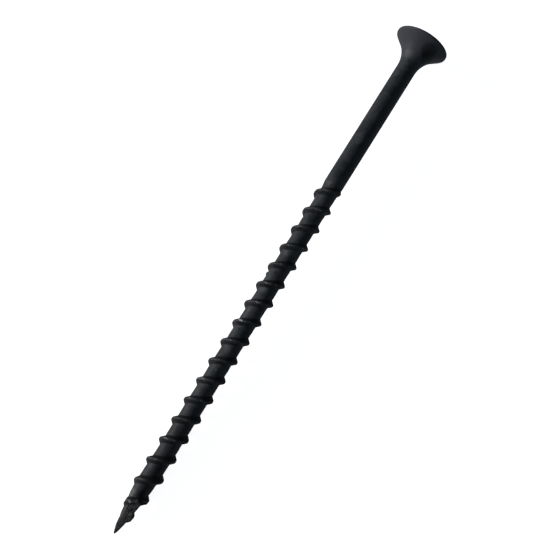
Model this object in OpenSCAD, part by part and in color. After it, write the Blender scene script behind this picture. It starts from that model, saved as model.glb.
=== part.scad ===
// Self-drilling wood screw: bugle head with a cross recess, plain shank,
// coarse right-hand thread and a threaded point with a slash cut.
// The screw is drawn upright on its point, and then laid down on the plane z = 0,
// where it rests on the rim of its head and on one turn of its thread.

/* [Screw] */
// Length from the point to the flat of the head
length = 100; // [75:1:150]
// Diameter of the plain shank
shank_d = 3.55; // [3.35:0.05:4.2]

/* [Head] */
// Diameter of the head
head_d = 10; // [9:0.1:12]
// Thickness of the head's edge
rim_t = 0.4; // [0.3:0.05:0.8]
// Rounding between the edge and the flat of the head
rim_r = 0.12; // [0.06:0.02:0.24]
// Radius of the hollow curve between the shank and the cone under the edge
bugle_r = 5.8; // [4:0.1:6.5]
// Angle between the axis and the cone under the edge
flare_angle = 47; // [42:1:50]

/* [Drive recess] */
// Width of the cross at the flat of the head, wing tip to wing tip
recess_d = 4.8; // [3.5:0.1:5.5]
// Width of the cross at the bottom of its wings
recess_floor_d = 2.2; // [1.5:0.1:3]
// Thickness of one wing
wing_t = 1.15; // [0.8:0.05:1.5]
// Depth of the wings
wing_depth = 2.3; // [1.5:0.1:3]
// Diameter of the middle of the cross, at the flat
pit_d = 2.5; // [1.5:0.1:3]
// Depth of the middle of the cross
pit_depth = 3.1; // [2:0.1:4]

/* [Thread] */
// Diameter over the crests
thread_d = 4.5; // [4.1:0.05:5.4]
// Diameter between the ridges
core_d = 3.25; // [2.8:0.05:3.3]
// Rise of the ridge in one turn
pitch = 3.81; // [2.8:0.01:5]
// Height at which the ridge has faded into the shank
thread_end = 69.6; // [50:0.1:80]
// Length over which the ridge fades
run_out = 2.4; // [1:0.1:6]
// Width of the ridge at its foot
ridge_foot = 1.55; // [1:0.05:1.75]
// Width of the ridge at its crest
ridge_crest = 0.3; // [0.15:0.05:0.6]
// Length of the cone between the core and the shank
shoulder = 1.1; // [0.6:0.1:3]

/* [Point] */
// Length of the tapered point
point_length = 8.8; // [6:0.1:14]
// Height of the ridge's first turn above the point
ridge_start = 0.95; // [0.9:0.05:2]
// Fullness of the core along the point: 1 is a straight cone
core_fullness = 0.62; // [0.6:0.02:0.9]
// Fullness of the crests along the point
crest_fullness = 0.66; // [0.5:0.02:0.74]
// Length of the slash cut that clears the chips
cut_length = 6.4; // [3:0.1:8]
// Distance from the axis to the bottom of the slash cut at the point
cut_floor = 0.08; // [0.04:0.01:0.2]
// Slope of the bottom of the slash cut
cut_slope = 2; // [0:0.5:6]
// Opening angle of the slash cut
cut_opening = 122; // [80:1:140]
// Turn of the slash cut from the start of the ridge
cut_turn = 172; // [0:1:359]

/* [Rest] */
// Turn of the screw about its own axis as it lies
lying_turn = 47.6; // [0:0.1:359]

/* [Hidden] */
$fn = 96;

// Sides of one turn of the thread, and corners of the ridge's section
turn_steps = 36;
corners = 4;
// How far the threaded part and the cutters reach past what they join or cut
overlap = 0.05;

shank_r = shank_d / 2;
head_r = head_d / 2;
core_r = core_d / 2;
crest_r = thread_d / 2;

// The hollow curve is tangent to the shank and to the cone, which ends at the edge.
flare_r = shank_r + bugle_r * (1 - cos(flare_angle));
flare_z = length - rim_t - (head_r - flare_r) / tan(flare_angle);
bugle_z = flare_z - bugle_r * sin(flare_angle);

// The shank's cone starts a little inside the core, so that the two cross cleanly.
shoulder_top = thread_end - run_out / 4;
shoulder_foot = shoulder_top - shoulder;

// Steps along the whole ridge
ridge_steps = ceil(turn_steps * (thread_end - ridge_start) / pitch);

function core_at(z) =
    z >= point_length ? core_r : core_r * pow(max(z, 0) / point_length, core_fullness);
function crest_at(z) =
    z >= point_length ? crest_r : crest_r * pow(max(z, 0) / point_length, crest_fullness);
function fade(z) = min(1, max(0, (thread_end - z) / run_out));

// Section of the ridge: distance along the axis from its middle, and share of its height
ridge_section = [
    [-ridge_foot / 2, 0],
    [-ridge_crest / 2, 1],
    [ridge_crest / 2, 1],
    [ridge_foot / 2, 0]
];

// A corner of the ridge's section at one step of its climb
function ridge_point(step, corner) =
    let (
        angle = 360 * step / turn_steps,
        middle = ridge_start + pitch * step / turn_steps,
        height = (crest_at(middle) - core_at(middle)) * fade(middle),
        z = middle + ridge_section[corner][0],
        r = core_at(z) + height * ridge_section[corner][1]
    )
    [r * cos(angle), r * sin(angle), z];

// Place of a corner in the list of points: the last corner of one turn
// is the first corner of the turn above it.
function place(step, corner) =
    corner == corners ? place(step + turn_steps, 0)
    : step <= ridge_steps ? step * corners + corner
    : (ridge_steps + 1) * corners + step - ridge_steps - 1;

// Core, ridge and point as one closed skin that climbs with the thread
module threaded_part() {
    tip = (ridge_steps + 1) * corners + turn_steps;
    top = tip + 1;
    top_z = thread_end + pitch + ridge_foot;
    points = concat(
        [for (step = [0:ridge_steps], corner = [0:corners - 1]) ridge_point(step, corner)],
        [for (step = [ridge_steps + 1:ridge_steps + turn_steps]) ridge_point(step, 0)],
        [[0, 0, 0], [0, 0, top_z]]
    );
    skin = [
        for (step = [0:ridge_steps - 1], corner = [0:corners - 1])
            each [
                [place(step, corner), place(step, corner + 1), place(step + 1, corner + 1)],
                [place(step, corner), place(step + 1, corner + 1), place(step + 1, corner)]
            ]
    ];
    tip_cone = [for (step = [0:turn_steps - 1]) [tip, place(step, 0), place(step + 1, 0)]];
    ridge_first = [for (corner = [0:corners - 1]) [tip, place(0, corner + 1), place(0, corner)]];
    top_cone = [
        for (step = [ridge_steps - turn_steps:ridge_steps - 1])
            [top, place(step + 1, corners), place(step, corners)]
    ];
    ridge_last = [
        for (corner = [0:corners - 1]) [top, place(ridge_steps, corner), place(ridge_steps, corner + 1)]
    ];
    polyhedron(points, concat(skin, tip_cone, ridge_first, top_cone, ridge_last));
}

// Half section of the shank and the head, turned about the axis
module shank_and_head() {
    rotate_extrude()
        difference() {
            union() {
                polygon([
                    [0, shoulder_foot],
                    [core_r - overlap, shoulder_foot],
                    [shank_r, shoulder_top],
                    [shank_r, bugle_z],
                    [flare_r, flare_z],
                    [head_r, length - rim_t],
                    [head_r, length - rim_r],
                    [head_r - rim_r, length - rim_r],
                    [head_r - rim_r, length],
                    [0, length]
                ]);
                translate([head_r - rim_r, length - rim_r])
                    circle(rim_r);
            }
            translate([shank_r + bugle_r, bugle_z])
                circle(bugle_r);
        }
}

// Cross recess for the driver: two wings that narrow as they go down, and a deeper middle
module drive_recess() {
    translate([0, 0, length - wing_depth])
        intersection() {
            cylinder(h = wing_depth, d1 = recess_floor_d, d2 = recess_d);
            union()
                for (turn = [0, 90])
                    rotate(turn)
                        translate([-recess_d / 2, -wing_t / 2, 0])
                            cube([recess_d, wing_t, wing_depth + overlap]);
        }
    translate([0, 0, length - pit_depth])
        cylinder(h = pit_depth, d1 = wing_t / 2, d2 = pit_d);
}

// Slash cut: a wedge, sunk almost to the axis of the point
module slash_cut() {
    wall_reach = thread_d * tan(cut_opening / 2);
    rotate(cut_turn)
        translate([cut_floor, 0, 0])
            rotate([0, cut_slope, 0])
                translate([0, 0, -thread_d])
                    linear_extrude(cut_length + thread_d)
                        polygon([[0, 0], [thread_d, -wall_reach], [thread_d, wall_reach]]);
}

module upright_screw() {
    difference() {
        union() {
            threaded_part();
            shank_and_head();
        }
        drive_recess();
        slash_cut();
    }
}

// The lowest full turn that the screw rests on, and the slope of its axis as it lies
turn_below = (360 - lying_turn) / 360;
rest_turn = ceil((point_length - ridge_start) / pitch - turn_below) + turn_below;
rest_z = ridge_start + pitch * rest_turn;
slope = atan((head_r - crest_r) / (length - rim_t - rest_z));
axis_height = head_r * cos(slope) - (length - rim_t) * sin(slope);
middle_x = (length * cos(slope) + (head_r - rim_r) * sin(slope)) / 2;

module screw() {
    color([0.09, 0.09, 0.1])
        translate([-middle_x, 0, axis_height])
            rotate([0, 90 - slope, 0])
                rotate(lying_turn)
                    upright_screw();
}

screw();
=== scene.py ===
# %% [markdown]
# # A black self-drilling wood screw
# The screw is one piece of steel wire. A machine upsets its head, rolls its thread, cuts a slash
# into its point and coats it with black phosphate. This lesson follows the same order: a turned
# blank, a thread that Geometry Nodes roll into it, and a coat that shader nodes paint.
# The packed model is the frame: it says where the screw lies and how big it is.

# %% Load the frame
import math

import bpy
from mathutils import Matrix, Vector


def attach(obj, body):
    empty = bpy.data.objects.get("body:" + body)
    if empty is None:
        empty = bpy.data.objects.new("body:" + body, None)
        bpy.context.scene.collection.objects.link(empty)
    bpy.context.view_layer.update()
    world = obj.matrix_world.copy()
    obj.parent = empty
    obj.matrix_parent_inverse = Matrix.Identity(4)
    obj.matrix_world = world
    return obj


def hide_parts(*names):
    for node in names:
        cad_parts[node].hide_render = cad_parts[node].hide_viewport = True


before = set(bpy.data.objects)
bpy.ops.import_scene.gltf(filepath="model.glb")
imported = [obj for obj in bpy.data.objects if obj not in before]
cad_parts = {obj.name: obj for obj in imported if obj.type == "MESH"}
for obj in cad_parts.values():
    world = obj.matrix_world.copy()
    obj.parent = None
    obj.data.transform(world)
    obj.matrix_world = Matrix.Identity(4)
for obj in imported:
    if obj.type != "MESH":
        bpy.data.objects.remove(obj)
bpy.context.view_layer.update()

MM = 0.001
print("packed nodes:", list(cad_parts))

# %% [markdown]
# ## Sizes
# The sizes are those of the packed model, in millimetres, and named as a maker names them. The
# screw is first made upright on its point, where its sizes are simple, and laid down at the end.

# %% Name the sizes of the shank and the head
LENGTH = 100.0
SHANK_R = 1.775
HEAD_R = 5.0
RIM_T = 0.4
RIM_R = 0.12
BUGLE_R = 5.8
FLARE_ANGLE = math.radians(47)

flare_r = SHANK_R + BUGLE_R * (1 - math.cos(FLARE_ANGLE))
flare_z = LENGTH - RIM_T - (HEAD_R - flare_r) / math.tan(FLARE_ANGLE)
bugle_z = flare_z - BUGLE_R * math.sin(FLARE_ANGLE)
print("hollow curve starts at", round(bugle_z, 2), "mm and the cone at", round(flare_z, 2), "mm")

# %% Name the sizes of the thread and the point
CREST_R = 2.25
CORE_R = 1.625
PITCH = 3.81
RIDGE_START = 0.95
RIDGE_FOOT = 1.55
THREAD_END = 69.6
POINT_LENGTH = 8.8

print("the ridge makes", round((THREAD_END - RIDGE_START) / PITCH, 1), "turns")

# %% [markdown]
# ## The blank
# A blank is a wire with a head. It could be a lathe profile on a Screw modifier, but the thread has
# to be crisp, so the edges of the mesh should run along the ridge. The blank is therefore a stack of
# rings, and in the threaded part each ring is turned a little further than the one below. A column
# of points then climbs at the pitch of the thread, and a crest stays on its own column.

# %% Choose the columns of a ring
RIDGE_COLUMNS = 40
VALLEY_COLUMNS = 32
COLUMNS = RIDGE_COLUMNS + VALLEY_COLUMNS
FOOT_MARGIN = 0.1

ridge_half = 180 * (RIDGE_FOOT + FOOT_MARGIN) / PITCH
ridge_phases = [-ridge_half + 2 * ridge_half * i / RIDGE_COLUMNS for i in range(RIDGE_COLUMNS + 1)]
valley_step = (360 - 2 * ridge_half) / VALLEY_COLUMNS
valley_phases = [ridge_half + valley_step * i for i in range(1, VALLEY_COLUMNS)]
thread_phases = ridge_phases + valley_phases
print(COLUMNS, "columns,", RIDGE_COLUMNS, "of them on the ridge")

# %% [markdown]
# ## The shape of the cross recess
# The driver's recess is punched into the flat of the head. A Boolean could cut it, but would leave
# long thin faces around it. Seen from above, the outline of the cross is a star about the axis, so
# the rings of the blank can simply go on into it: over the rim, across the flat, down the walls of
# the cross and to its floor. The mesh stays closed, and its columns gather at the wings.

# %% Describe the walls of the recess
RECESS_R = 2.4
RECESS_FLOOR_R = 1.1
WING_HALF = 0.575
WING_DEPTH = 2.3
PIT_R = 1.25
PIT_FLOOR_R = 0.29
PIT_DEPTH = 3.1
ON_AXIS = 1e-6


def recess_radius(angle, depth):
    """Distance from the axis to the wall of the cross, in the direction angle, at a depth."""
    tip = RECESS_R + (RECESS_FLOOR_R - RECESS_R) * min(1, depth / WING_DEPTH)
    pit = PIT_R + (PIT_FLOOR_R - PIT_R) * min(1, depth / PIT_DEPTH)
    off_wing = (angle + 45) % 90 - 45
    side = WING_HALF / max(ON_AXIS, abs(math.sin(math.radians(off_wing))))
    return max(min(tip, side), pit)


print("the cross is", 2 * recess_radius(0, 0), "mm wide at the flat")

# %% Choose the columns of the recess
WING_STEPS = 4
SIDE_STEPS = 7

wing_edge = math.degrees(math.asin(WING_HALF / RECESS_R))
quarter = [-45 + (45 - wing_edge) * i / SIDE_STEPS for i in range(SIDE_STEPS)]
quarter += [-wing_edge + 2 * wing_edge * i / WING_STEPS for i in range(WING_STEPS)]
quarter += [wing_edge + (45 - wing_edge) * i / SIDE_STEPS for i in range(SIDE_STEPS)]
head_angles = [90 * k + a for k in range(4) for a in quarter]
print("wing tips are", round(2 * wing_edge, 1), "degrees wide;", len(head_angles), "columns")

# %% [markdown]
# ## Rings from the point to the shank
# Each ring is a list of points. In the thread the angles climb, and along the shank they ease over
# to the angles of the recess. A sudden change would shear the faces, so the ease has a length of its
# own. The radius in the thread is only a placeholder here, because the nodes set it.

# %% Stack the rings of the thread
FIRST_RING = 0.03
ROLL_MARGIN = 1.0
ROLLED_TO = THREAD_END + ROLL_MARGIN
RINGS_PER_TURN = 48


def climb(height):
    """Turn of a ring, in degrees, at a height in the thread."""
    return 360 * (height - RIDGE_START) / PITCH


def ring(angles, radii, height):
    """Points of one ring: radii is one number, or one for each angle."""
    if not isinstance(radii, list):
        radii = [radii] * COLUMNS
    turned = [math.radians(a) for a in angles]
    return [(r * math.cos(a), r * math.sin(a), height) for a, r in zip(turned, radii)]


rings = []
steps = math.ceil((ROLLED_TO - FIRST_RING) * RINGS_PER_TURN / PITCH)
for k in range(steps + 1):
    height = FIRST_RING + (ROLLED_TO - FIRST_RING) * k / steps
    rings.append(ring([phase + climb(height) for phase in thread_phases], SHANK_R, height))
print(len(rings), "rings in the thread")

# %% Ease the rings of the shank over to the recess
EASE_LENGTH = 16.0
SHANK_RINGS = 24

climbed = [phase + climb(ROLLED_TO) for phase in thread_phases]
nearest = min(range(COLUMNS), key=lambda k: abs((head_angles[k] - climbed[0] + 180) % 360 - 180))
whole_turns = round((climbed[0] - head_angles[nearest]) / 360)
settled = [
    head_angles[(nearest + i) % COLUMNS] + 360 * (whole_turns + (nearest + i) // COLUMNS)
    for i in range(COLUMNS)
]
for k in range(1, SHANK_RINGS + 1):
    height = ROLLED_TO + (bugle_z - ROLLED_TO) * k / SHANK_RINGS
    share = min(1, (height - ROLLED_TO) / EASE_LENGTH)
    rings.append(ring([a + (b - a) * share for a, b in zip(climbed, settled)], SHANK_R, height))
print(len(rings), "rings up to the head")

# %% [markdown]
# ## The bugle head
# Under a bugle head the shank widens in a hollow curve, like a trumpet, so the head sinks into a
# board without tearing it. A curve could be spun into this shape. Here the profile is a list of
# radii and heights, because each pair then becomes one more ring with the same columns: an arc that
# leaves the shank smoothly, a short cone, a soft corner and the rounded rim.

# %% Draw the hollow curve and the cone
ARC_RINGS = 34
CONE_RINGS = 8
CONE_STOP = 0.88

profile = []
for k in range(1, ARC_RINGS + 1):
    a = FLARE_ANGLE * k / ARC_RINGS
    profile.append((SHANK_R + BUGLE_R * (1 - math.cos(a)), bugle_z + BUGLE_R * math.sin(a)))
for k in range(1, CONE_RINGS + 1):
    share = CONE_STOP * k / CONE_RINGS
    cone_rise = (LENGTH - RIM_T - flare_z) * share
    profile.append((flare_r + (HEAD_R - flare_r) * share, flare_z + cone_rise))
print("the cone stops at a radius of", round(profile[-1][0], 2), "mm")

# %% Round the edge of the head
UNDER_RIM = 0.14
CORNER_RINGS = 6
RIM_RINGS = 7

corner_bend = (profile[-1], (HEAD_R, LENGTH - RIM_T), (HEAD_R, LENGTH - RIM_T + UNDER_RIM))
for k in range(1, CORNER_RINGS + 1):
    t = k / CORNER_RINGS
    weights = ((1 - t) ** 2, 2 * t * (1 - t), t ** 2)
    profile.append(tuple(sum(w * p[axis] for w, p in zip(weights, corner_bend)) for axis in (0, 1)))
for k in range(RIM_RINGS + 1):
    a = math.radians(90) * k / RIM_RINGS
    profile.append((HEAD_R - RIM_R + RIM_R * math.cos(a), LENGTH - RIM_R + RIM_R * math.sin(a)))
for r, height in profile:
    rings.append(ring(settled, r, height))
print(len(profile), "rings in the head's outline")

# %% [markdown]
# ## The flat and the recess
# The punch that makes the recess draws a little lip of metal down with it. The next rings cross the
# flat towards the mouth of the cross, dip over that lip, go down the walls, and end on the floor of
# the pit in the middle. Then neighbouring rings are joined by four-sided faces, and a fan of
# triangles closes each end.

# %% Carry the rings over the flat and into the recess
FLAT_SHARES = (0.3, 0.6, 0.85)
LIP = 0.09
LIP_CORNER = 0.3 * LIP
LIP_STEPS = ((0.0, LIP), (LIP_CORNER, LIP_CORNER), (LIP, 0.0))
WALL_DEPTHS = (0.35, 0.7, 1.05, 1.4, 1.75, 2.05, WING_DEPTH)
PIT_INSET = 0.98

flat_edge = HEAD_R - RIM_R
mouth = [recess_radius(a, 0) + LIP for a in settled]
for share in FLAT_SHARES:
    rings.append(ring(settled, [flat_edge + (m - flat_edge) * share for m in mouth], LENGTH))
for depth, widen in LIP_STEPS:
    rings.append(ring(settled, [recess_radius(a, depth) + widen for a in settled], LENGTH - depth))
for depth in WALL_DEPTHS:
    rings.append(ring(settled, [recess_radius(a, depth) for a in settled], LENGTH - depth))
pit_top = PIT_R + (PIT_FLOOR_R - PIT_R) * WING_DEPTH / PIT_DEPTH
rings.append(ring(settled, pit_top * PIT_INSET, LENGTH - WING_DEPTH))
rings.append(ring(settled, PIT_FLOOR_R, LENGTH - PIT_DEPTH))
print(len(rings), "rings in all")

# %% Join the rings into a closed mesh
points = [p for one in rings for p in one]
tip = len(points)
pit = tip + 1
points += [(0, 0, 0), (0, 0, LENGTH - PIT_DEPTH)]
last = (len(rings) - 1) * COLUMNS
faces = []
for low in range(0, last, COLUMNS):
    high = low + COLUMNS
    for i in range(COLUMNS):
        j = (i + 1) % COLUMNS
        faces.append((low + i, low + j, high + j, high + i))
for i in range(COLUMNS):
    j = (i + 1) % COLUMNS
    faces.append((tip, j, i))
    faces.append((last + i, last + j, pit))
blank_mesh = bpy.data.meshes.new("screw_blank")
blank_mesh.from_pydata(points, [], faces)
blank = bpy.data.objects.new("screw_blank", blank_mesh)
bpy.context.scene.collection.objects.link(blank)
print("blank has", len(points), "points and", len(faces), "faces")

# %% [markdown]
# ## Writing node trees as sums
# A node tree is easier to read as a formula. `Wire` stands for one socket, and its operators add
# Math nodes. `Board` adds every other node: its settings come first, then its sockets. The same two
# classes serve the geometry of the thread and the shader of the coat.

# %% Define a wire that adds up like a number


class Wire:
    """One output socket of a node tree, which adds and multiplies like a number."""

    def __init__(self, board, socket):
        self.board = board
        self.socket = socket

    def maths(self, operation, *others):
        """A Math node with this wire as its first value."""
        values = dict(enumerate((self, *others)))
        return self.board.add("ShaderNodeMath", {"operation": operation}, values)

    def swapped(self, operation, other):
        """A Math node with this wire as its second value."""
        return self.board.add("ShaderNodeMath", {"operation": operation}, {0: other, 1: self})

    def __add__(self, other):
        return self.maths("ADD", other)

    __radd__ = __add__

    def __mul__(self, other):
        return self.maths("MULTIPLY", other)

    __rmul__ = __mul__

    def __sub__(self, other):
        return self.maths("SUBTRACT", other)

    def __rsub__(self, other):
        return self.swapped("SUBTRACT", other)

    def __truediv__(self, other):
        return self.maths("DIVIDE", other)

    def __rtruediv__(self, other):
        return self.swapped("DIVIDE", other)

    def __pow__(self, other):
        return self.maths("POWER", other)

    def __rpow__(self, other):
        return self.swapped("POWER", other)

    def __abs__(self):
        return self.maths("ABSOLUTE")

    def least(self, other):
        """The smaller of two values."""
        return self.maths("MINIMUM", other)

    def most(self, other):
        """The larger of two values."""
        return self.maths("MAXIMUM", other)

    def limited(self):
        """The value held between 0 and 1."""
        return self.most(0.0).least(1.0)

    def smooth(self, start, end):
        """0 at start, 1 at end, with an easy curve between them."""
        sockets = {"Value": self, "From Min": start, "From Max": end}
        return self.board.add("ShaderNodeMapRange", {"interpolation_type": "SMOOTHSTEP"}, sockets)

    def window(self, opening, closing):
        """0 before opening, 1 after it and 0 again after closing: each is a start and an end."""
        return self.smooth(*opening) - self.smooth(*closing)


print("a wire knows", ", ".join(name for name in vars(Wire) if not name.startswith("_")))

# %% Define a board that adds nodes


class Board:
    """A node tree with one way to add a node."""

    def __init__(self, tree):
        self.tree = tree

    def add(self, kind, settings=None, sockets=None, output=0):
        """Adds a node, sets it, wires it, and returns one of its outputs."""
        node = self.tree.nodes.new(kind)
        for name, value in (settings or {}).items():
            setattr(node, name, value)
        for key, value in (sockets or {}).items():
            if isinstance(value, Wire):
                self.tree.links.new(value.socket, node.inputs[key])
            else:
                node.inputs[key].default_value = value
        return Wire(self, node.outputs[output]) if node.outputs else node

    def split(self, vector):
        """The three parts of a vector."""
        first = self.add("ShaderNodeSeparateXYZ", None, {"Vector": vector})
        return [Wire(self, socket) for socket in first.socket.node.outputs]


print("a board knows", ", ".join(name for name in vars(Board) if not name.startswith("_")))

# %% [markdown]
# ## Rolling the thread
# Two flat dies squeeze the wire and push up one ridge. A profile swept along a helix could stand for
# the ridge, but it would have to be welded to the core, the point and the shank. In nodes the thread
# is a formula for the radius instead: how far along the axis a point lies from the nearest turn of
# the ridge says how high it stands. The tree's inputs hold the sizes, so another screw is a few
# numbers. Some of them are this screw's own flaws: a drooping first turn, a bent point, a burr.

# %% Name the inputs of the tree
THREAD_SIZES = {
    "Pitch": PITCH,
    "Crest Radius": CREST_R,
    "Core Radius": CORE_R,
    "Shank Radius": SHANK_R,
    "Ridge Start": RIDGE_START,
    "Ridge Foot": RIDGE_FOOT,
    "Ridge Crest": 0.3,
    "Thread End": THREAD_END,
    "Run Out": 2.4,
    "Shoulder": 1.1,
    "Unevenness": 0.07,
    "Hammering": 0.05,
    "Burr Place": 49.6,
    "Burr Turn": math.radians(49),
    "Burr Height": 0.24,
}
POINT_SIZES = {
    "Point Length": POINT_LENGTH,
    "Tip Blunting": 0.1,
    "Core Fullness": 0.62,
    "Crest Fullness": 0.66,
    "Ridge Spread": 0.3,
    "Ridge Swell": 0.13,
    "Crest Wear": 0.2,
    "Ridge Droop": 0.3,
    "Droop Turn": math.radians(229),
    "Cut Length": 6.4,
    "Cut Slant": 1.3,
    "Cut Floor": 0.08,
    "Cut Slope": 0.035,
    "Cut Narrowing": 0.55,
    "Cut Turn": math.radians(172),
    "Flat Floor": 0.72,
    "Flat Rise": 0.66,
    "Flat Start": 2.5,
    "Flat End": 4.9,
    "Flat Turn": math.radians(50),
    "Point Bend": 0.15,
}
SIZES = {**THREAD_SIZES, **POINT_SIZES}
print(len(THREAD_SIZES), "inputs for the thread and", len(POINT_SIZES), "for the point")

# %% Start the tree
roll_thread = bpy.data.node_groups.new("roll_thread", "GeometryNodeTree")
roll_thread.interface.new_socket("Blank", in_out="INPUT", socket_type="NodeSocketGeometry")
for name in SIZES:
    roll_thread.interface.new_socket(name, in_out="INPUT", socket_type="NodeSocketFloat")
roll_thread.interface.new_socket("Screw", in_out="OUTPUT", socket_type="NodeSocketGeometry")

dies = Board(roll_thread)
entry = dies.add("NodeGroupInput").socket.node
size = {name: Wire(dies, entry.outputs[name]) for name in SIZES}
place = dies.add("GeometryNodeInputPosition")
x, y, z = dies.split(place)
around = y.maths("ARCTAN2", x)
print("tree starts with", len(roll_thread.nodes), "nodes")

# %% [markdown]
# ## The way from a point to the ridge
# Unrolled, the ridge is a straight line that climbs one pitch in one turn. `climbs` counts the turns
# from that line to a point, and wrapping it to half a turn either way leaves the nearest turn of the
# ridge. On this screw the first turns hang a little lower on one side of the point, so the line
# droops there.

# %% Measure from the ridge
DROOP_GROWS = (2.0, 7.0)
DROOP_FADES = (7.0, 11.0)

one_side = 0.5 + 0.5 * (around - size["Droop Turn"]).maths("COSINE")
droop = size["Ridge Droop"] * one_side * z.window(DROOP_GROWS, DROOP_FADES)
climbs = (z + droop - size["Ridge Start"]) / size["Pitch"] - around / math.tau
off_ridge = climbs.maths("WRAP", 0.5, -0.5) * size["Pitch"]
middle = z - off_ridge
print("measuring takes", len(roll_thread.nodes), "nodes so far")

# %% [markdown]
# ## Core, crests and flanks
# The dies narrow at the point, so the core and the crests shrink there, each along its own curve:
# a power of the height, which is rounder than a straight cone. The ridge has two sloping flanks and
# a narrow crest. It fades in above the tip and fades out at the shank. On the side where it droops
# the first turn is also broader and swollen, and opposite that side one crest is worn lower. A slow
# noise makes it uneven, because no rolled crest is perfect.

# %% Taper the core and the crests


def along_point(height, radius, fullness):
    """A radius that shrinks to nothing at the point."""
    share = ((height + size["Tip Blunting"]) / size["Point Length"]).limited()
    return radius * share ** fullness


core = along_point(z, size["Core Radius"], size["Core Fullness"])
core_below = along_point(middle, size["Core Radius"], size["Core Fullness"])
crest_above = along_point(middle, size["Crest Radius"], size["Crest Fullness"])
print("tapering takes", len(roll_thread.nodes), "nodes so far")

# %% Shape the flanks
SPREAD_GROWS = (1.8, 2.8)
SPREAD_FADES = (4.8, 8.6)
FLANK_EASE = 0.25

broader = size["Ridge Spread"] * one_side * z.window(SPREAD_GROWS, SPREAD_FADES)
foot_half = size["Ridge Foot"] * 0.5 + broader
crest_half = size["Ridge Crest"] * 0.5 + broader
flank = ((foot_half - abs(off_ridge)) / (foot_half - crest_half)).limited()
risen = (1 - FLANK_EASE) * flank + FLANK_EASE * flank.smooth(0.0, 1.0)
print("the flanks take", len(roll_thread.nodes), "nodes so far")

# %% Raise the ridge
RIDGE_BEGINS = (1.2, 2.6)
UNEVEN_NOISE = {"Scale": 0.45, "Detail": 2.0}
SWELL_GROWS = (1.5, 3.0)
SWELL_FADES = (7.5, 14.0)
WORN_GROWS = (7.6, 8.6)
WORN_FADES = (9.8, 10.8)

uneven = dies.add("ShaderNodeTexNoise", None, {"Vector": place, **UNEVEN_NOISE})
taller = 1.0 + size["Unevenness"] * (2.0 * uneven - 1.0)
begun = middle.smooth(*RIDGE_BEGINS)
faded = ((size["Thread End"] - middle) / size["Run Out"]).limited()
swell = size["Ridge Swell"] * one_side * z.window(SWELL_GROWS, SWELL_FADES)
worn = size["Crest Wear"] * (1.0 - one_side) * z.window(WORN_GROWS, WORN_FADES)
ridge_rise = (crest_above - core_below) * begun * faded * taller + swell - worn
rolled = core + ridge_rise * risen
print("the ridge takes", len(roll_thread.nodes), "nodes so far")

# %% [markdown]
# ## Dents, a burr and the shoulder
# Rolling is rough work. It leaves shallow dents in the core, and here and there a burr, a sliver of
# steel that was pushed out. A Voronoi texture gives each dent a place, and its distance makes a
# bowl. The burr is a small dome at a named place. Above the thread the core meets the thicker shank
# in a short cone, and the larger of the two radii wins.

# %% Dent the core and leave a burr
DENT_SCALE = 0.6
DENT_STEEPNESS = 1.7
RIDGE_SPARED = 0.7
BURR_HALF_LENGTH = 0.45
BURR_HALF_TURN = 0.3


def turned_from(turn):
    """Angle from a direction, between minus and plus half a turn."""
    return (around - turn).maths("WRAP", math.pi, -math.pi)


from_dent = dies.add("ShaderNodeTexVoronoi", None, {"Vector": place, "Scale": DENT_SCALE})
dent = (1.0 - DENT_STEEPNESS * from_dent * from_dent).limited() * (1.0 - RIDGE_SPARED * risen)
dented = rolled - dent * size["Hammering"] * core / size["Core Radius"]
burr_up = (z - size["Burr Place"]) / BURR_HALF_LENGTH
burr_aside = turned_from(size["Burr Turn"]) / BURR_HALF_TURN
burr = (1.0 - burr_up * burr_up - burr_aside * burr_aside).limited()
burred = dented + burr * size["Burr Height"]
print("dents and burr take", len(roll_thread.nodes), "nodes so far")

# %% Meet the shank
RUN_OUT_OVERLAP = 0.25
SHOULDER_STEP = 0.01

shoulder_top = size["Thread End"] - size["Run Out"] * RUN_OUT_OVERLAP
cone = ((z - shoulder_top) / size["Shoulder"] + 1.0).limited()
shank = size["Core Radius"] + (size["Shank Radius"] - size["Core Radius"]) * cone
uncut = burred.most(shank * cone.smooth(0.0, SHOULDER_STEP))
print("the shoulder takes", len(roll_thread.nodes), "nodes so far")

# %% [markdown]
# ## The slash cut and the pinched flat
# The slash clears the chips, so the screw drills its own hole. A blade shears it almost to the axis
# and leaves two rough walls and a torn shoulder. Beside it, the dies pinched one side of the point
# flat. A Boolean cut would break up the columns of the mesh. Here each cut is a limit instead: in
# every direction it says how far from the axis the steel may reach, and the least radius wins.

# %% Cut the slash
TORN_NOISE = {"Scale": 1.6, "Detail": 3.0}
TORN_END = 1.6
TORN_FLOOR = 0.12
CUT_SHOULDER = 0.16
NARROWEST = 0.001

from_cut = turned_from(size["Cut Turn"])
torn = dies.add("ShaderNodeTexNoise", None, {"Vector": place, **TORN_NOISE}) - 0.5
cut_end = size["Cut Length"] + size["Cut Slant"] * from_cut + TORN_END * torn
cut_floor = size["Cut Floor"] + z * size["Cut Slope"] + TORN_FLOOR * torn
cut_floor = cut_floor + (z - cut_end).smooth(0.0, CUT_SHOULDER) * size["Crest Radius"]
opening = from_cut.maths("COSINE") - abs(from_cut.maths("SINE")) * size["Cut Narrowing"]
slash = cut_floor / opening.most(NARROWEST)
print("the slash takes", len(roll_thread.nodes), "nodes so far")

# %% Pinch the flat
FLAT_RELEASE = 1.2

level = size["Flat Floor"] + size["Flat Rise"] * z.smooth(size["Flat Start"], size["Flat End"])
level = level + (z - size["Flat End"] - FLAT_RELEASE).most(0.0)
flat = level / turned_from(size["Flat Turn"]).maths("COSINE").most(NARROWEST)
radius = uncut.least(slash).least(flat)
print("the flat takes", len(roll_thread.nodes), "nodes so far")

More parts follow.
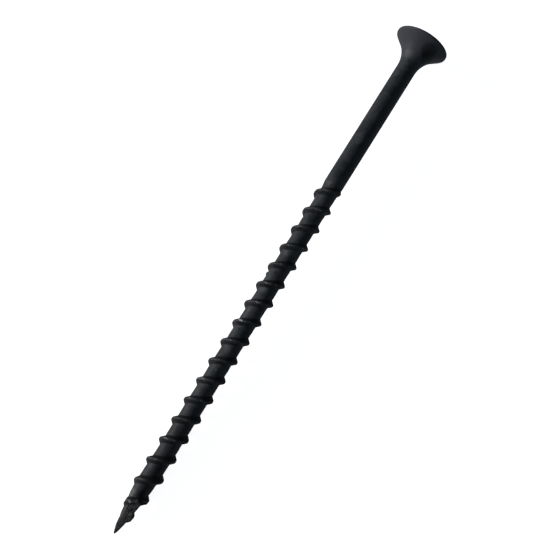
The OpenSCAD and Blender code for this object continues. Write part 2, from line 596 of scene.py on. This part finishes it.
# %% [markdown]
# ## Moving the points
# Now every point has its radius. A point keeps its direction from the axis and its height, moves to
# that radius, and leans over with the slightly bent point. The coat has to know where the cut,
# the ridge and its two sides are. A field is worked out where it is used, and after the move it
# would see the new places, so these values are stored on the points before the move. The place
# itself is stored after it.

# %% Work out the new places
BEND_ENDS = (7.0, 15.0)

reach = (x * x + y * y) ** 0.5
bend = size["Point Bend"] * (1.0 - z.smooth(*BEND_ENDS))
new_x = x / reach * radius + bend * size["Flat Turn"].maths("COSINE")
new_y = y / reach * radius + bend * size["Flat Turn"].maths("SINE")
new_place = dies.add("ShaderNodeCombineXYZ", None, {"X": new_x, "Y": new_y, "Z": z})
print("the new places take", len(roll_thread.nodes), "nodes so far")

# %% Store what the coat reads
LAST_RING_SPARED = 0.01
CUT_EDGE = 0.05
AT_ONCE = 1000.0


def store(geometry, name, kind, value):
    """Stores a value on the points, for the shader."""
    settings = {"data_type": kind, "domain": "POINT"}
    sockets = {"Geometry": geometry, "Name": name, "Value": value}
    return dies.add("GeometryNodeStoreNamedAttribute", settings, sockets)


in_thread = z.maths("LESS_THAN", size["Thread End"] + (ROLL_MARGIN - LAST_RING_SPARED))
moves = in_thread * reach.maths("GREATER_THAN", ON_AXIS)
threaded = (faded * AT_ONCE).limited() * in_thread
offset = off_ridge * threaded + size["Pitch"] * (1.0 - threaded)
shape = Wire(dies, entry.outputs["Blank"])
shape = store(shape, "cut", "FLOAT", (uncut - slash).smooth(0.0, CUT_EDGE) * in_thread)
shape = store(shape, "ridge", "FLOAT", risen * faded * in_thread)
shape = store(shape, "offset", "FLOAT", offset)
print("storing takes", len(roll_thread.nodes), "nodes so far")

# %% Move the points and end the tree
moved = {"Geometry": shape, "Selection": moves, "Position": new_place}
shape = dies.add("GeometryNodeSetPosition", None, moved)
shape = store(shape, "own", "FLOAT_VECTOR", dies.add("GeometryNodeInputPosition"))
shape = dies.add("GeometryNodeRealizeInstances", None, {"Geometry": shape})
coat_material = bpy.data.materials.new("black_phosphate")
shape = dies.add("GeometryNodeSetMaterial", None, {"Geometry": shape, "Material": coat_material})
dies.add("NodeGroupOutput", None, {"Screw": shape})
print("thread tree has", len(roll_thread.nodes), "nodes")

# %% Roll the blank
modifier = blank.modifiers.new("roll_thread", "NODES")
modifier.node_group = roll_thread
for item in roll_thread.interface.items_tree:
    if item.in_out == "INPUT" and item.name in SIZES:
        modifier[item.identifier] = SIZES[item.name]
depsgraph = bpy.context.evaluated_depsgraph_get()
screw_mesh = bpy.data.meshes.new_from_object(blank.evaluated_get(depsgraph))
screw_mesh.name = "finished_screw"
blank.modifiers.remove(modifier)
bpy.data.objects.remove(blank)
print("rolled screw has", len(screw_mesh.polygons), "faces")

# %% [markdown]
# ## Laying the screw down
# A screw can't stand on its point. It comes to rest on the rim of its head and on one turn of its
# thread, so its axis slopes a little. The object could be turned, but then a pattern or an export
# that expects it at the origin would go astray, so the mesh is turned and the object stays put.

# %% Find the slope and turn the mesh
LYING_TURN = math.radians(47.6)
SHARP_ANGLE = math.radians(38)

turn_below = 1 - LYING_TURN / math.tau
rest_turn = math.ceil((POINT_LENGTH - RIDGE_START) / PITCH - turn_below) + turn_below
rest_z = RIDGE_START + PITCH * rest_turn
slope = math.atan((HEAD_R - CREST_R) / (LENGTH - RIM_T - rest_z))
axis_height = HEAD_R * math.cos(slope) - (LENGTH - RIM_T) * math.sin(slope)
middle_x = (LENGTH * math.cos(slope) + (HEAD_R - RIM_R) * math.sin(slope)) / 2
lying = (
    Matrix.Scale(MM, 4)
    @ Matrix.Translation((-middle_x, 0, axis_height))
    @ Matrix.Rotation(math.radians(90) - slope, 4, "Y")
    @ Matrix.Rotation(LYING_TURN, 4, "Z")
)
screw_mesh.transform(lying)
screw_mesh.shade_smooth()
screw_mesh.set_sharp_from_angle(angle=SHARP_ANGLE)
screw = bpy.data.objects.new("finished_screw", screw_mesh)
bpy.context.scene.collection.objects.link(screw)
print("axis slopes", round(math.degrees(slope), 2), "degrees")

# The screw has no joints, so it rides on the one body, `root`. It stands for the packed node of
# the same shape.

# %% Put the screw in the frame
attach(screw, "root")
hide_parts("screw")
print("the screw rides on root and stands for the packed screw")

# %% [markdown]
# ## The black coat
# Phosphate grows as fine dark crystals that hold a little oil. The coat is nearly black and satin,
# with soft clouds of tone, small bare scuffs, painted highlights and painted shade. It could be a
# painted image, but an image needs an unwrapped surface and blurs close up. Nodes have neither
# limit.
# They read `own`, the place of each point on the upright screw that the thread's tree stored, so the
# pattern stays with the screw however it lies.

# %% Start the coat
coat_material.use_nodes = True
paint = Board(coat_material.node_tree)
paint.tree.nodes.clear()


def stored(name, output):
    """A value that the thread's tree stored on the points."""
    return paint.add("ShaderNodeAttribute", {"attribute_name": name}, None, output)


def noise(scale, detail, roughness):
    """A cloudy value between 0 and 1 that sits still on the screw."""
    sockets = {"Vector": own, "Scale": scale, "Detail": detail, "Roughness": roughness}
    return paint.add("ShaderNodeTexNoise", None, sockets)


def mix(share, first, second):
    """The first colour, with a share of the second: a Mix node's colours are 6, 7 and output 2."""
    return paint.add("ShaderNodeMix", {"data_type": "RGBA"}, {0: share, 6: first, 7: second}, 2)


own = stored("own", "Vector")
in_cut = stored("cut", "Fac")
on_ridge = stored("ridge", "Fac")
from_ridge = stored("offset", "Fac")
own_x, own_y, own_z = paint.split(own)
own_turn = own_y.maths("ARCTAN2", own_x)
print("coat starts with", len(paint.tree.nodes), "nodes")

# %% [markdown]
# ## Clouds and tints
# The bath wets the steel unevenly, so the coat has patches of lighter and darker crystals, some with
# a violet tint. Smooth Voronoi cells give patches with soft borders, and noise clouds them. Between
# them the oil pools in small black spots, more of them higher up.

# %% Cloud the coat
COAT_DARK = (0.015, 0.018, 0.021, 1.0)
COAT_PALE = (0.061, 0.063, 0.067, 1.0)
COAT_VIOLET = (0.045, 0.041, 0.048, 1.0)
# This black is used for oil spots and pits, and also for painted shade beside the ridge and in some
# marks.
OIL_AND_SHADE_BLACK = (0.005, 0.006, 0.007, 1.0)
CLOUD_NOISE = (0.7, 3.0, 0.6)
PATCHES = {"Scale": 0.75, "Smoothness": 0.3}
CLOUD_SHARE = 0.3
PATCH_SHARE = 0.7
VIOLET_SHARE = 0.6
VIOLET_EDGE = (0.5, 0.8)
SPOT_NOISE = (2.4, 2.0, 0.5)
SPOT_EDGE = (0.5, 0.66)
SPOT_SHARE = 0.38
SPOTS_GROW = (8.0, 60.0)

clouds = noise(*CLOUD_NOISE)
smooth_cells = {"feature": "SMOOTH_F1"}
cells = paint.add("ShaderNodeTexVoronoi", smooth_cells, {"Vector": own, **PATCHES}, "Color")
patch, tint, _ = paint.split(cells)
coat = mix(CLOUD_SHARE * clouds + PATCH_SHARE * patch, COAT_DARK, COAT_PALE)
coat = mix(VIOLET_SHARE * tint.smooth(*VIOLET_EDGE), coat, COAT_VIOLET)
spots = noise(*SPOT_NOISE).smooth(*SPOT_EDGE) * own_z.smooth(*SPOTS_GROW)
coat = mix(SPOT_SHARE * spots, coat, OIL_AND_SHADE_BLACK)
print("clouds take", len(paint.tree.nodes), "nodes so far")

# %% [markdown]
# ## Head, shank and point
# The coat isn't the same all along. The head was upset in a die and stays a little paler and bluer.
# The shank was drawn through a ring, which leaves long streaks: noise whose scale is small along the
# axis. Towards the point the coat gets darker.

# %% Tone the head, the shank and the point
COAT_HEAD = (0.048, 0.049, 0.0585, 1.0)
HEAD_SHARE = 0.75
HEAD_BEGINS = (94.6, 96.4)
OIL_GREEN = (0.004, 0.009, 0.0105, 1.0)
SHANK_BEGINS = (69.5, 71.5)
SHANK_ENDS = (94.6, 95.9)
SHANK_DARKENING = 0.36
STREAK_SCALE = (0.9, 0.9, 0.16)
STREAK_NOISE = {"Scale": 1.0, "Detail": 3.0}
STREAK_DEPTH = 1.2
LOW_SHARE = 0.38
LOW_ENDS = (12.0, 48.0)

coat = mix(HEAD_SHARE * own_z.smooth(*HEAD_BEGINS), coat, COAT_HEAD)
drawn_out = paint.add("ShaderNodeMapping", None, {"Vector": own, "Scale": STREAK_SCALE})
streaks = paint.add("ShaderNodeTexNoise", None, {"Vector": drawn_out, **STREAK_NOISE})
streaked = (SHANK_DARKENING + STREAK_DEPTH * (streaks - 0.5)).limited()
coat = mix(streaked * own_z.window(SHANK_BEGINS, SHANK_ENDS), coat, OIL_GREEN)
coat = mix(LOW_SHARE * (1.0 - own_z.smooth(*LOW_ENDS)), coat, OIL_AND_SHADE_BLACK)
print("tones take", len(paint.tree.nodes), "nodes so far")

# %% [markdown]
# ## Painted shade beside the ridge
# Both sides of the ridge get painted shade in the coat. On the head's side it is one black band,
# broader on the side away from the light. On the point's side a thin dark line is painted shade
# under a lap, where the dies folded the steel, and it comes and goes. Both follow the stored
# distance from the ridge's middle.

# %% Paint shade at both sides of the ridge
SHADED_TURN = math.radians(229)
BAND_STARTS = (0.08, 0.24)
BAND_ENDS = (0.4, 0.7)
BAND_GROWTH = 0.5
SHADE_BAND_SHARE = 0.97
BAND_BEGINS = (4.2, 6.0)
LAP_STARTS = (-0.85, -0.6)
LAP_ENDS = (-0.3, -0.12)
LAP_NOISE = (0.8, 3.0, 0.6)
LAP_EDGE = (0.48, 0.6)
LAP_LEAST = 0.4
LAP_MORE = 0.45

# Painted shade: a black band on the head's side of each ridge, broader on the side turned away from
# the light.
away_from_light = 0.5 + 0.5 * (own_turn - SHADED_TURN).maths("COSINE")
shade_band_ends = [end + BAND_GROWTH * away_from_light for end in BAND_ENDS]
painted_shade_band = from_ridge.window(BAND_STARTS, shade_band_ends) * own_z.smooth(*BAND_BEGINS)
coat = mix(SHADE_BAND_SHARE * painted_shade_band, coat, OIL_AND_SHADE_BLACK)
# Painted shade: a thin dark line under the lap, on the point's side of each ridge.
painted_lap_shade = from_ridge.window(LAP_STARTS, LAP_ENDS)
lap_shade_share = LAP_LEAST + LAP_MORE * noise(*LAP_NOISE).smooth(*LAP_EDGE)
coat = mix(lap_shade_share * painted_lap_shade, coat, OIL_AND_SHADE_BLACK)
print("oil takes", len(paint.tree.nodes), "nodes so far")

# %% [markdown]
# ## Bare steel on the crests and in the cut
# Crests rub against each other in the box and show a little steel. In the slash the coat is thin on
# freshly sheared steel, so its walls are grey and mottled, palest at the torn shoulder. Noise with a
# narrow edge gives both their spots, and the stored cut and ridge say where they belong.

# %% Wear the crests and bare the cut
# This pale steel shows on worn crests, and the same colour makes the painted highlights among the
# marks below.
BARE_STEEL_AND_GLINT = (0.33, 0.32, 0.31, 1.0)
WEAR_NOISE = (1.7, 4.0, 0.7)
WEAR_EDGE = (0.52, 0.66)
WEAR_SHARE = 0.35
CREST_EDGE = (0.8, 0.98)
CUT_DARK = (0.093, 0.077, 0.0665, 1.0)
CUT_PALE = (0.315, 0.262, 0.23, 1.0)
CUT_BARE_AND_GLINT = (0.5, 0.43, 0.385, 1.0)
SHEAR_NOISE = (2.9, 4.0, 0.7)
SHEAR_EDGE = (0.42, 0.6)
SHOULDER_SHARE = 0.3
SHOULDER_BEGINS = (3.9, 4.9)

wear = noise(*WEAR_NOISE).smooth(*WEAR_EDGE) * on_ridge.smooth(*CREST_EDGE)
coat = mix(WEAR_SHARE * wear, coat, BARE_STEEL_AND_GLINT)
sheared = noise(*SHEAR_NOISE).smooth(*SHEAR_EDGE) + SHOULDER_SHARE * own_z.smooth(*SHOULDER_BEGINS)
colour = mix(in_cut, coat, mix(sheared.limited(), CUT_DARK, CUT_PALE))
print("bare steel takes", len(paint.tree.nodes), "nodes so far")

# %% [markdown]
# ## Scuffs, pits, painted highlights and painted shade
# This screw has been handled. It has a few pale scuffs, and pits that hold oil. Many of the pale
# marks
# are painted highlights: glints on crests and light on small facets. Some dark marks are painted
# shade, on the head's shaded side and beside the slash. Random spots would give the same feel, but
# these sit where the real marks, glints and shades are, so each is written down. A mark is an
# ellipse on the surface, and noise makes its outline ragged.

# %% List the marks
# Each mark: height in mm, turn in degrees, half length and half width in mm, strength
# Pale marks: partly scuffs, partly painted highlights, such as glints on crests from 47.8 to 17.3 mm
# and light on facets of the neck, the core and the slash.
SCUFFS_AND_GLINTS = (
    (96.2, 108, 0.8, 0.7, 0.1),
    (68.6, 112, 0.55, 0.4, 0.1),
    (65.5, 120, 0.7, 0.7, 0.05),
    (54.0, 109, 0.6, 0.5, 0.06),
    (47.8, 117, 0.15, 0.3, 0.35),
    (46.6, 120, 0.7, 0.6, 0.06),
    (44.2, 128, 0.13, 0.3, 0.6),
    (42.3, 99, 0.55, 0.3, 0.1),
    (40.2, 106, 0.17, 0.4, 1.0),
    (34.8, 124, 0.8, 0.6, 0.07),
    (31.0, 130, 0.15, 0.15, 0.3),
    (28.6, 106, 0.15, 0.3, 0.25),
    (17.3, 105, 0.15, 0.3, 0.3),
    (7.4, 98, 0.6, 0.4, 0.1),
    (7.3, 78, 0.75, 0.55, 0.2),
    (6.6, 86, 0.35, 0.4, 0.25),
    (6.35, 145, 0.35, 0.28, 0.3),
    (5.7, 114, 0.22, 0.3, 0.5),
    (3.88, 200, 0.3, 0.5, 1.0),
    (3.1, 113, 1.1, 0.3, 0.13),
)
# Dark marks: partly pits that hold oil, partly painted shade, such as the head's shaded side at 98.1
# and 97.3 mm and the shaded core above the slash at 7.5 mm.
PITS_AND_SHADE = (
    (98.1, 168, 1.2, 0.75, 0.7),
    (97.3, 188, 1.3, 0.75, 0.75),
    (50.2, 120, 0.32, 0.16, 0.9),
    (38.8, 117, 0.22, 0.2, 0.9),
    (10.2, 108, 0.3, 0.9, 0.7),
    (10.0, 172, 4.0, 1.4, 0.5),
    (7.5, 148, 0.9, 0.65, 0.6),
    (6.35, 220, 0.4, 0.8, 0.8),
    (6.25, 117, 0.25, 0.35, 0.9),
    (5.55, 132, 0.2, 0.3, 0.9),
    (5.15, 81, 0.15, 0.4, 0.6),
    (4.6, 168, 0.35, 1.4, 0.5),
    (2.85, 172, 0.45, 0.9, 0.45),
)
print(len(SCUFFS_AND_GLINTS), "scuffs and", len(PITS_AND_SHADE), "pits")

# %% Set the marks into the coat
RAGGED_NOISE = (3.0, 3.0, 0.6)
RAGGEDNESS = 1.2
PIT_RAGGEDNESS = 0.5
MARK_EDGE = (0.6, 1.15)


def marks(places, ragged):
    """The strength of a few small ragged spots, 0 elsewhere."""
    found = 0.0
    for height, degrees, half_length, half_width, strength in places:
        along = (own_z - height) / half_length
        aside = (own_turn - math.radians(degrees)).maths("WRAP", math.pi, -math.pi)
        across = aside * (CORE_R / half_width)
        reach = (along * along + across * across) ** 0.5 + ragged
        found = strength * (1.0 - reach.smooth(*MARK_EDGE)) + found
    return found.limited()


ragged = RAGGEDNESS * noise(*RAGGED_NOISE) - RAGGEDNESS / 2
# The pale marks use bare steel: real scuffs, and painted highlights where they are glints and lit
# facets. The dark marks are pits and painted shade.
bare_and_glint = mix(in_cut, BARE_STEEL_AND_GLINT, CUT_BARE_AND_GLINT)
colour = mix(marks(SCUFFS_AND_GLINTS, ragged), colour, bare_and_glint)
colour = mix(marks(PITS_AND_SHADE, PIT_RAGGEDNESS * ragged), colour, OIL_AND_SHADE_BLACK)
print("marks take", len(paint.tree.nodes), "nodes so far")

# %% [markdown]
# ## The satin surface
# Crystals scatter light, so the coat is satin: fairly rough, and rougher where it is cloudy or
# grainy. A fine bump gives the grain, with a coarser one in the sheared cut. The oil keeps the
# mirror part weak, so the specular level is low.

# %% Finish the coat
GRAIN_NOISE = (9.0, 3.0, 0.6)
ROUGHNESS = 0.48
CLOUD_ROUGHNESS = 0.14
GRAIN_ROUGHNESS = 0.10
BAND_ROUGHNESS = 0.12
CUT_NOISE = (4.0, 3.0, 0.6)
CUT_COARSENESS = 2.5
BUMP_STRENGTH = 0.35
BUMP_HEIGHT = 0.04 * MM
SPECULAR_LEVEL = 0.21

grain = noise(*GRAIN_NOISE)
rough = ROUGHNESS + CLOUD_ROUGHNESS * clouds + GRAIN_ROUGHNESS * grain + BAND_ROUGHNESS * painted_shade_band
relief = grain + CUT_COARSENESS * in_cut * noise(*CUT_NOISE)
bumps = {"Strength": BUMP_STRENGTH, "Distance": BUMP_HEIGHT, "Height": relief}
surface = {
    "Base Color": colour,
    "Roughness": rough,
    "Specular IOR Level": SPECULAR_LEVEL,
    "Normal": paint.add("ShaderNodeBump", None, bumps),
}
satin = paint.add("ShaderNodeBsdfPrincipled", None, surface)
paint.add("ShaderNodeOutputMaterial", None, {"Surface": satin})
print("coat has", len(paint.tree.nodes), "nodes")

# %% [markdown]
# ## The floor
# The screw lies on plain white. A white floor needs strong light to look white, and that light would
# wash out the black coat. A Light Path node tells the rays apart instead: the camera's rays see a
# floor that glows nearly white, and rays mirrored in the coat see a dim one. The matt part under the
# glow still takes the screw's shadow.

# %% Make the floor's glow
FLOOR_COLOUR = (0.8, 0.8, 0.8, 1.0)
WHITE = (1.0, 1.0, 1.0, 1.0)
SEEN_WHITE = 0.915
MIRRORED_WHITE = 0.13

floor_material = bpy.data.materials.new("white_floor")
floor_material.use_nodes = True
ground = Board(floor_material.node_tree)
ground.tree.nodes.clear()
path = ground.add("ShaderNodeLightPath").socket.node
seen = Wire(ground, path.outputs["Is Camera Ray"]) * SEEN_WHITE
for name in ("Is Glossy Ray", "Is Transmission Ray"):
    seen = seen.most(Wire(ground, path.outputs[name]) * MIRRORED_WHITE)
matt = ground.add("ShaderNodeBsdfDiffuse", None, {"Color": FLOOR_COLOUR})
glow = ground.add("ShaderNodeEmission", None, {"Color": WHITE, "Strength": seen})
both = ground.add("ShaderNodeAddShader", None, {0: matt, 1: glow})
ground.add("ShaderNodeOutputMaterial", None, {"Surface": both})
print("floor material has", len(ground.tree.nodes), "nodes")

# %% Lay the floor
FLOOR_SIDE = 6.0

half = FLOOR_SIDE / 2
floor_corners = [(-half, -half, 0), (half, -half, 0), (half, half, 0), (-half, half, 0)]
floor_mesh = bpy.data.meshes.new("floor")
floor_mesh.from_pydata(floor_corners, [], [(0, 1, 2, 3)])
floor_mesh.materials.append(floor_material)
floor = bpy.data.objects.new("floor", floor_mesh)
bpy.context.scene.collection.objects.link(floor)
print("floor is", FLOOR_SIDE, "m wide")

# %% [markdown]
# ## The camera
# The camera looks down on the screw from close by, so the near turns look a little larger than the
# far ones. Its height, turn and distance were found by matching the outline. The lens follows from
# its focal length in pixels, and a shift of the lens puts the middle of the screw on its pixel
# without turning the view.

# %% Place the camera
CAMERA_ELEVATION = math.radians(77.07)
CAMERA_TURN = math.radians(-58.35)
CAMERA_DISTANCE = 0.1575
AIM_HEIGHT = 49.8
SENSOR_WIDTH = 36
PHOTO_SIDE = 560
FOCAL_PIXELS = 921
MIDDLE_PIXEL = (275.75, 277.43)

aim = lying @ Vector((0, 0, AIM_HEIGHT))
towards = Vector((
    math.sin(CAMERA_TURN) * math.cos(CAMERA_ELEVATION),
    -math.cos(CAMERA_TURN) * math.cos(CAMERA_ELEVATION),
    math.sin(CAMERA_ELEVATION),
))
lens = bpy.data.cameras.new("camera")
lens.sensor_width = SENSOR_WIDTH
lens.lens = SENSOR_WIDTH * FOCAL_PIXELS / PHOTO_SIDE
lens.shift_x = (PHOTO_SIDE / 2 - MIDDLE_PIXEL[0]) / PHOTO_SIDE
lens.shift_y = (MIDDLE_PIXEL[1] - PHOTO_SIDE / 2) / PHOTO_SIDE
camera = bpy.data.objects.new("camera", lens)
camera.location = aim + towards * CAMERA_DISTANCE
camera.rotation_euler = (-towards).to_track_quat("-Z", "Y").to_euler()
bpy.context.scene.collection.objects.link(camera)
bpy.context.scene.camera = camera
print("lens", round(lens.lens, 1), "mm")

# %% [markdown]
# ## The light
# One soft light stands low on the left of the view, so the nearly black coat shows a grey band along
# its left side and falls to black on the right. Dim bluish light from all sides keeps the right side
# readable. The camera itself sees the air as a white backdrop.

# %% Set the soft light
KEY_RIGHT = -0.91
KEY_FORWARD = 0.28
KEY_UP = 0.33
KEY_DISTANCE = 0.8
KEY_WIDTH = 0.26
KEY_HEIGHT = 0.2
KEY_RADIANCE = 33.5

view_right = Vector((math.cos(CAMERA_TURN), math.sin(CAMERA_TURN), 0))
view_forward = Vector((-math.sin(CAMERA_TURN), math.cos(CAMERA_TURN), 0))
key_direction = KEY_RIGHT * view_right + KEY_FORWARD * view_forward + KEY_UP * Vector((0, 0, 1))
key_light = bpy.data.lights.new("key_softbox", "AREA")
key_light.shape = "RECTANGLE"
key_light.size = KEY_WIDTH
key_light.size_y = KEY_HEIGHT
key_light.energy = KEY_RADIANCE * math.pi * KEY_WIDTH * KEY_HEIGHT
key = bpy.data.objects.new("key_softbox", key_light)
key.location = key_direction.normalized() * KEY_DISTANCE
key.rotation_euler = (-key_direction).to_track_quat("-Z", "Z").to_euler()
bpy.context.scene.collection.objects.link(key)
print("soft light of", round(key_light.energy, 2), "W")

# %% Set the light of the air
AIR_COLOUR = (0.8, 1.0, 1.2, 1.0)
AIR_LIGHT = 0.125

world = bpy.data.worlds.new("studio")
world.use_nodes = True
air = Board(world.node_tree)
air.tree.nodes.clear()
path = air.add("ShaderNodeLightPath").socket.node
dim = air.add("ShaderNodeBackground", None, {"Color": AIR_COLOUR, "Strength": AIR_LIGHT})
backdrop = air.add("ShaderNodeBackground", None, {"Color": WHITE})
seen = Wire(air, path.outputs["Is Camera Ray"])
both = air.add("ShaderNodeMixShader", None, {0: seen, 1: dim, 2: backdrop})
air.add("ShaderNodeOutputWorld", None, {"Surface": both})
bpy.context.scene.world = world
bpy.context.scene.view_settings.view_transform = "Standard"
print("air shines at", AIR_LIGHT)

# %% [markdown] ## Finish
